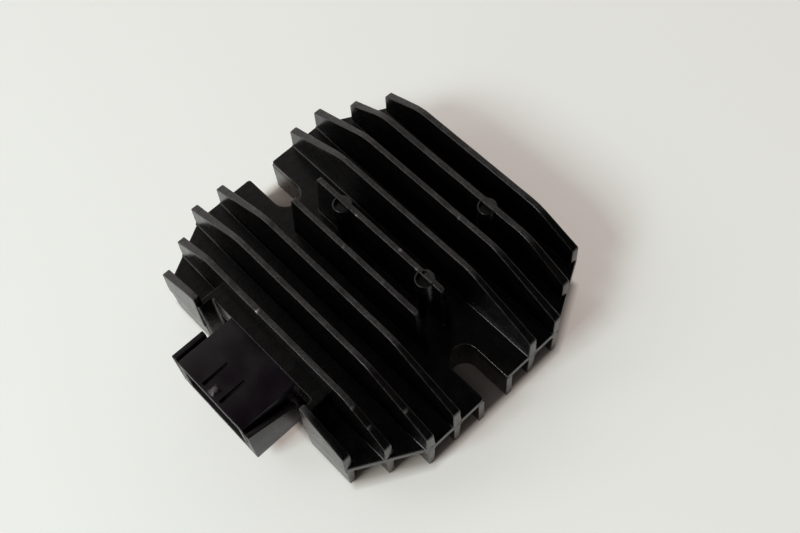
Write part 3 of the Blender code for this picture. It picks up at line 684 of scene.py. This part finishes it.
def pale_floor(studio):
    """The studio's floor: it shines a little to the camera and in reflections, not on the part."""
    nodes = Finish("pale_floor")
    ray = nodes.add("ShaderNodeLightPath").outputs
    seen = nodes.maths("ADD", ray["Is Camera Ray"], ray["Is Glossy Ray"])
    seen = nodes.maths("MINIMUM", nodes.maths("ADD", seen, ray["Is Transmission Ray"]), 1.0)
    # Under the casting the mark is 0: there the floor has no shine and takes the darker, browner
    # colour, a painted shade in the slots and under the part
    outside = nodes.mark("outside")
    glow = nodes.maths("MULTIPLY", seen, outside)
    tint = tuple(0.985 * part for part in studio.floor)
    pale = nodes.blend(nodes.noise(size=0.25, detail=1.0), tint, studio.floor)
    nodes.surface({"Base Color": nodes.blend(outside, studio.shade_beneath, pale),
                   "Emission Color": studio.glow_tint,
                   "Emission Strength": nodes.maths("MULTIPLY", glow, studio.glow),
                   "Roughness": 0.75, "Specular IOR Level": 0.1})
    return nodes.material


def cast_piece(shells, name):
    """Make the gathered shells a piece of the casting, in the one coating that all of it has."""
    coating = (bpy.data.materials.get("black_coated_casting")
               or coated_casting(bpy.context.scene.casting_finish))
    shells.piece(name, coating, "coated_casting", ["heat_sink"])


# Operators

class CastFins(bpy.types.Operator):
    """Make the ten cooling fins"""

    bl_idname = "rectifier.fins"
    bl_label = "Fins"

    def execute(self, context):
        """Loft each fin along X; the first one is cut away for the connector."""
        s = context.scene.casting_sizes
        shells = Shells()
        # Past its right bend a top loses most of its lighter mark over a short length: painted
        # shade on the right slopes, turned from the light
        slope_shade_depth, fade = 0.9, 0.003
        for index in range(FIN_COUNT):
            half, bend, _ = fin_plan(s, index)
            spans = [(-half, half)] if index else split(half, arm_x(s))
            for number, (start, end) in enumerate(spans):
                x = stations(start, end, FIN_STEP)
                points, rubbed = web(x, fin_line(s, index, x), fin_y(s, index), s.fin_root,
                                     s.fin_top, s.fin_height, FIN_FILLET,
                                     seed=100 * index + 50 * number, uneven=s.unevenness)
                if index in SHORT_FINS:
                    lean = s.short_draft * (1 - points[..., 2] / s.fin_height) / half
                    points[..., 0] *= 1 + lean
                points[..., 2] = np.minimum(points[..., 2] + s.floor_top, SINK_HIGH.z)
                slope_shade = slope_shade_depth * np.clip((points[..., 0] - bend) / fade, 0, 1)
                points = within(s, index, points)
                shells.loft(points, rubbed * (1 - slope_shade), chip_marks(s, index, points))
        cast_piece(shells, "cooling_fins")
        return {"FINISHED"}


class CastFloor(bpy.types.Operator):
    """Make the floor plate with its bolt slots"""

    bl_idname = "rectifier.floor"
    bl_label = "Floor plate"

    def execute(self, context):
        """Raise the floor's outline into a plate with rounded edges."""
        s = context.scene.casting_sizes
        shells = Shells()
        shells.loft(slab(floor_outline(s), s.pocket_depth, s.floor_top,
                         top_round=0.00025, bottom_round=EDGE_ROUND))
        cast_piece(shells, "floor_plate")
        return {"FINISHED"}


class CastFeet(bpy.types.Operator):
    """Make the webs under the floor that the unit stands on"""

    bl_idname = "rectifier.feet"
    bl_label = "Feet"

    def execute(self, context):
        """Loft each web downward from the floor, outside the pocket's wall."""
        s = context.scene.casting_sizes
        shells = Shells()
        overlap = 0.001
        for index in range(FIN_COUNT):
            if index in SHORT_FINS:
                continue
            half = fin_plan(s, index)[0]
            away = abs(index - OUTER) * s.fin_pitch
            inner = edge_x(s, away + s.rim_setback) - s.rim_setback - overlap
            spans = split(half, inner)
            if index == 0:
                spans = split(half, arm_x(s))
            elif away > notch_y(s):
                spans = [(-half, half)]
            for number, (start, end) in enumerate(spans):
                x = stations(start, end, FOOT_STEP)
                points, rubbed = web(x, np.full(len(x), s.pocket_depth), fin_y(s, index),
                                     s.foot_root, s.foot_tip, s.pocket_depth, FOOT_FILLET,
                                     seed=3000 + 100 * index + 50 * number)
                lean = s.foot_draft * np.maximum(points[..., 2], 0) / s.pocket_depth
                points[..., 0] *= 1 - lean / half
                points[..., 2] = s.pocket_depth - points[..., 2]
                shells.loft(within(s, index, points), 0.3 * rubbed)
        cast_piece(shells, "feet")
        return {"FINISHED"}


class CastPocket(bpy.types.Operator):
    """Make the pocket's wall and the walls round the bolt slots"""

    bl_idname = "rectifier.pocket"
    bl_label = "Pocket walls"

    def execute(self, context):
        """Carry a wall's section along the pocket's outline and round each slot."""
        s = context.scene.casting_sizes
        shells = Shells()
        rims = [rim_half(s, grow) for grow in (0.0, -s.rim_wall)]
        end, half = SINK_HIGH.x, s.slot_width / 2
        slots = [np.concatenate((((end, -radius),), slot_arc(s, radius, 32), ((end, radius),)))
                 for radius in (half, half + s.slot_wall)]
        for paths in (rims, slots):
            for side in (1, -1):
                outer, inner = (path * side + (0, middle_y(s)) for path in paths)
                shells.loft(wall_loft(outer, inner, s.pocket_depth + WALL_SUNK))
        cast_piece(shells, "pocket_walls")
        return {"FINISHED"}


class CastHood(bpy.types.Operator):
    """Make the hood over the connector's inner end"""

    bl_idname = "rectifier.hood"
    bl_label = "Hood"

    def execute(self, context):
        """Raise the hood's plan into a block with a rounded top edge."""
        s = context.scene.casting_sizes
        shells = Shells()
        shells.loft(slab(hood_outline(s), 0.0, s.hood_top, top_round=0.00018,
                         bottom_round=0.0002))
        cast_piece(shells, "connector_hood")
        return {"FINISHED"}


class CastPads(bpy.types.Operator):
    """Make the round ejector pads on the fins"""

    bl_idname = "rectifier.pads"
    bl_label = "Ejector pads"

    def execute(self, context):
        """Turn each pad's profile round its axis and sink its face on the connector's side."""
        s = context.scene.casting_sizes
        shells = Shells()
        radius = s.pad_radius
        rings, drops = PAD_RINGS[:, None], PAD_DROPS[:, None]
        turn = np.linspace(0, 2 * math.pi, 65)[:-1]
        for index, x in PADS:
            top = s.floor_top + fin_plan(s, index)[2]
            ring_x = x + radius * rings * np.cos(turn)
            ring_y = radius * rings * np.sin(turn) - s.pad_offset
            outward = ring_y < -s.fin_top / 4
            sunk = (rings < PAD_HOLLOW) & outward
            ring_z = top - radius * drops - PAD_HOLLOW_DEPTH * sunk
            ring_z[-1] = s.floor_top - 0.0005
            # A pad's face carries the fins' lighter top, partly wear and partly painted top light,
            # fainter on the connector's side and none in its hollow or down its outer edge
            rubbed = np.where(sunk | (drops > 0.04), 0.0, 0.12) * np.where(outward, 1.0, 5.0)
            shells.loft(np.stack((ring_x, ring_y + fin_y(s, index), ring_z), axis=-1), rubbed)
        cast_piece(shells, "ejector_pads")
        return {"FINISHED"}


def socket_loop(h, inwards, top, slit, dome):
    """Return one section of the socket's body, counterclockwise seen from its mouth.

    It is a rounded box, moved inwards on all sides, whose top has two slits, slit deep, and a
    dome, an ellipse across the tongue between them.
    """
    half = h.neck_width / 2 - inwards
    low = top - h.height + inwards
    high = top - inwards
    radius = h.edge
    inward, upward = quarter(4)
    gap = h.latch_width / 2
    wide = gap + h.slit_width
    tongue = np.linspace(gap, -gap, 15)[1:-1]
    corner = np.stack((half - radius * inward, high - radius * (1 - upward)), axis=-1)
    foot = corner[::-1] * (1, -1) + (0, low + high)
    half_dome = 0.0010
    lift = dome * np.clip(1 - (tongue / half_dome) ** 2, 0, 1) ** 0.5
    right = np.concatenate((foot, corner, ((wide, high), (wide, high - slit), (gap, high - slit),
                                           (gap, high))))
    return np.concatenate((right, np.column_stack((tongue, high + lift)), right[::-1] * (-1, 1)))


def socket_sections(h, top):
    """Return the socket's sections along Y, out to the mouth, round its lip and back inside.

    The slits go through most of the wall over an even length and then get shallower evenly, and
    the bump is an ellipse along Y.
    """
    mouth = HOUSING_LOW.y
    slit_start = mouth + h.slit_setback
    slit_end = slit_start + h.slit_length
    bump_y = mouth + h.bump_setback
    bump_half, even, deepest, lip = 0.0012, 0.0016, 0.95, 0.0002
    ys = np.concatenate((np.linspace(slit_end, bump_y + bump_half + 0.0002, 6),
                         np.linspace(bump_y + bump_half + 0.00005, slit_start, 14)))
    domes = h.bump_height * np.clip(1 - ((ys - bump_y) / bump_half) ** 2, 0, 1) ** 0.5
    shallower = 0.75 * (ys - slit_start - even) / h.slit_length
    depths = h.wall * np.clip(deepest - shallower, 0, deepest)
    inward, upward = quarter(4)
    rows = [(HOUSING_HIGH.y, 0, 0, 0), (slit_end + 0.004, 0, 0, 0), (slit_end, 0, 0, 0)]
    rows += [(y, 0, depth, dome) for y, depth, dome in zip(ys, depths, domes)]
    rows += [(slit_start, 0, 0, domes[-1]), (mouth + h.edge * 1.6, 0, 0, 0)]
    rows += [(mouth + h.edge * (1 - rise), h.edge * way, 0, 0)
             for way, rise in zip(inward, upward)]
    rows += [(mouth + lip * (1 - rise), h.wall - lip * way, 0, 0)
             for way, rise in zip(inward[::-1], upward[::-1])]
    rows.append((mouth + h.depth, h.wall, 0, 0))
    return np.stack([np.insert(socket_loop(h, inwards, top, slit, dome), 1, y, axis=1)
                     for y, inwards, slit, dome in rows])


def rail_sections(h, top, side, reach, first, last):
    """Return a side rail's sections inward from the mouth.

    Its upper part is lowered by first at the mouth and evenly more, up to last, at its end.
    """
    mouth = HOUSING_LOW.y
    low = top - h.height
    outer = h.width / 2
    inner = outer - h.rail
    overlap, base = 0.001, 0.0015
    root = h.neck_width / 2 - overlap
    groove = top - h.groove_depth
    outline = rounded(((root, low), (outer, low), (outer, top), (inner, top), (inner, groove),
                       (root, groove)), h.edge, 4)
    inward, upward = quarter(4)
    front, back = 0.0003, 0.0002
    ys = np.concatenate((mouth + front * (1 - upward[::-1]),
                         np.linspace(mouth + front, mouth + reach - back, 9)[1:],
                         [mouth + reach]))
    narrow = np.concatenate((front * inward[::-1], np.zeros(8), [back]))
    sections = []
    for y, distance in zip(ys, narrow):
        loop = inset(outline, distance)
        drop = first + (last - first) * ((y - mouth) / reach)
        loop[:, 1] -= np.where(loop[:, 1] > groove + base, drop, 0.0)
        sections.append(np.insert(loop * (side, 1), 1, y, axis=1))
    return np.stack(sections)


class MouldHousing(bpy.types.Operator):
    """Make the connector housing with its socket, rails and latch"""

    bl_idname = "rectifier.housing"
    bl_label = "Connector housing"

    def execute(self, context):
        """Loft the socket's body, with its latch bump rubbed, and the two side rails."""
        h = context.scene.housing_sizes
        top = context.scene.casting_sizes.hood_top - h.drop
        shells = Shells()
        sections = socket_sections(h, top)
        # The lighter spot round the latch bump's top is partly wear and partly a painted highlight
        reach, wear_highlight_size = 1.7, 0.0006
        bump = (0.0, HOUSING_LOW.y + h.bump_setback, top + h.bump_height)
        away = np.linalg.norm(sections - bump, axis=-1)
        shells.loft(sections, np.clip(reach - away / wear_highlight_size, 0, 1))
        shells.loft(rail_sections(h, top, -1, h.left_rail, 0.0, 0.0))
        shells.loft(rail_sections(h, top, 1, h.right_rail, h.drop_at_mouth, h.drop_at_back))
        material = housing_plastic(context.scene.housing_finish)
        shells.piece("connector_shell", material, "housing_plastic", ["connector_housing"])
        return {"FINISHED"}


class FinishInside(bpy.types.Operator):
    """Give the terminals, the board, the circuit and the resin their finishes"""

    bl_idname = "rectifier.inside"
    bl_label = "Terminals, circuit and resin"

    def execute(self, context):
        """Put a material with patches, sheen and relief on every solid that stays."""
        finishes = {start: plain_finish(*values) for start, values in INSIDE.items()}
        for name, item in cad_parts.items():
            if name not in ("heat_sink", "connector_housing"):
                start = next(start for start in finishes if name.startswith(start))
                item.data.materials.clear()
                item.data.materials.append(finishes[start])
        return {"FINISHED"}


# Studio

def lay_floor(scene, studio, sizes):
    """Lay a wide floor in rings of the casting's outline, marked 0 beneath it and 1 outside."""
    side = OUTER * sizes.fin_pitch
    ring = np.array(((SINK_HIGH.x, CORNER * sizes.fin_pitch), (edge_x(sizes, side), side)))
    ring = np.concatenate((ring, ring[::-1] * (-1, 1), -ring, ring[::-1] * (1, -1)))
    loops = [np.insert(ring * grow + (0, middle_y(sizes)), 2, GROUND_Z, axis=1)
             for grow in GROUND_RINGS]
    count = len(ring)
    faces = [list(range(count))]
    faces += [(low + k, low + count + k, low + count + (k + 1) % count, low + (k + 1) % count)
              for low in (0, count) for k in range(count)]
    mesh = bpy.data.meshes.new("studio_floor")
    mesh.from_pydata(np.concatenate(loops).tolist(), [], faces)
    layer = mesh.attributes.new("outside", "FLOAT", "POINT")
    layer.data.foreach_set("value", np.repeat((0.0, 1.0, 1.0), count).astype(np.float32))
    mesh.materials.append(pale_floor(studio))
    ground = bpy.data.objects.new("studio_floor", mesh)
    scene.collection.objects.link(ground)


def make_sky(scene, studio):
    """Light the part softly from all round and show the camera one plain colour behind it.

    The sky's strength goes from the far side's to the window side's across one direction, and
    from there to the zenith's up another one.
    """
    world = bpy.data.worlds.new("studio_sky")
    world.use_nodes = True
    nodes = Nodes(world.node_tree)
    towards = nodes.add("ShaderNodeTexCoord").outputs["Generated"]
    across = nodes.dot(towards, (-0.9, -0.4, 0.0))
    upward = nodes.dot(towards, (0.45, 0.0, 1.0))
    strength = nodes.spread(across, -0.5, 0.5, studio.shade, studio.window)
    strength = nodes.spread(upward, 0.30, 0.72, strength, studio.zenith)
    sky = nodes.tree.nodes["Background"]
    nodes.put(sky.inputs["Color"], studio.sky_tint)
    nodes.put(sky.inputs["Strength"], strength)
    far_floor = [0.5 * part + studio.glow * shine
                 for part, shine in zip(studio.floor, studio.glow_tint)]
    behind = nodes.add("ShaderNodeBackground", {"Color": far_floor})
    seen = nodes.add("ShaderNodeLightPath").outputs["Is Camera Ray"]
    either = nodes.add("ShaderNodeMixShader", {0: seen, 1: sky.outputs[0], 2: behind.outputs[0]})
    nodes.put(nodes.tree.nodes["World Output"].inputs["Surface"], either.outputs[0])
    scene.world = world


def place_camera(scene, studio, sizes):
    """Look at the floor plate from the photograph's angle and distance.

    The camera turns by its roll, tilts up from the ground and turns round the object, and it
    stands back from the target along its own line of sight.
    """
    lens = bpy.data.cameras.new("photo_camera")
    lens.lens = studio.focal
    lens.sensor_fit = "HORIZONTAL"
    lens.clip_start = 0.01
    camera = bpy.data.objects.new("photo_camera", lens)
    scene.collection.objects.link(camera)
    target = (TARGET[0], TARGET[1] + middle_y(sizes), sizes.floor_top)
    camera.matrix_world = (Matrix.Translation(target)
                           @ Matrix.Rotation(studio.azimuth, 4, "Z")
                           @ Matrix.Rotation(math.pi / 2 - studio.elevation, 4, "X")
                           @ Matrix.Rotation(studio.roll, 4, "Z")
                           @ Matrix.Translation((0.0, 0.0, studio.distance)))
    scene.camera = camera


def hang_lamps(scene, studio):
    """Hang the square lamps, each turned toward the part."""
    for name, power, tint, spot in LAMPS:
        lamp = bpy.data.lights.new(name, "AREA")
        lamp.shape = "SQUARE"
        lamp.size = LAMP_SIZE
        lamp.energy = getattr(studio, power)
        lamp.color = getattr(studio, tint)
        item = bpy.data.objects.new(name, lamp)
        scene.collection.objects.link(item)
        place = Vector(spot)
        turn = place.to_track_quat("Z", "Y").to_matrix().to_4x4()
        item.matrix_world = Matrix.Translation(place) @ turn


class SetStage(bpy.types.Operator):
    """Make the floor, the lights and the camera"""

    bl_idname = "rectifier.stage"
    bl_label = "Floor, lights and camera"

    def execute(self, context):
        """Lay a wide floor, light it softly and look from the photograph's angle."""
        scene = context.scene
        studio, sizes = scene.studio_settings, scene.casting_sizes
        scene.view_settings.view_transform = "Standard"
        lay_floor(scene, studio, sizes)
        make_sky(scene, studio)
        place_camera(scene, studio, sizes)
        hang_lamps(scene, studio)
        return {"FINISHED"}


PIECES = (CastFins, CastFloor, CastFeet, CastPocket, CastHood, CastPads, MouldHousing,
          FinishInside, SetStage)
GROUPS = {"casting_sizes": CastingSizes, "casting_finish": CastingFinish,
          "housing_sizes": HousingSizes, "housing_finish": HousingFinish,
          "studio_settings": StudioSettings}


class RectifierPanel(bpy.types.Panel):
    """Lists the sizes, the finishes and the pieces"""

    bl_idname = "VIEW3D_PT_rectifier"
    bl_label = "Rectifier"
    bl_space_type = "VIEW_3D"
    bl_region_type = "UI"
    bl_category = "Rectifier"

    def draw(self, context):
        """Draw every property and a button for each operator."""
        for name, group in GROUPS.items():
            values = getattr(context.scene, name)
            column = self.layout.column(heading=group.__doc__)
            for key in group.__annotations__:
                column.prop(values, key)
        for operator in PIECES:
            self.layout.operator(operator.bl_idname)


def register():
    """Register the property groups, the operators and the panel."""
    for name, group in GROUPS.items():
        bpy.utils.register_class(group)
        setattr(bpy.types.Scene, name, PointerProperty(type=group))
    for item in PIECES + (RectifierPanel,):
        bpy.utils.register_class(item)


def unregister():
    """Take all of them away again."""
    for item in (RectifierPanel,) + PIECES[::-1]:
        bpy.utils.unregister_class(item)
    for name, group in GROUPS.items():
        delattr(bpy.types.Scene, name)
        bpy.utils.unregister_class(group)


def main():
    """Build every piece and write the solids' box and the finished box."""
    register()
    bpy.ops.rectifier.fins()
    bpy.ops.rectifier.floor()
    bpy.ops.rectifier.feet()
    bpy.ops.rectifier.pocket()
    bpy.ops.rectifier.hood()
    bpy.ops.rectifier.pads()
    bpy.ops.rectifier.housing()
    bpy.ops.rectifier.inside()
    bpy.ops.rectifier.stage()


if __name__ == "__main__":
    main()
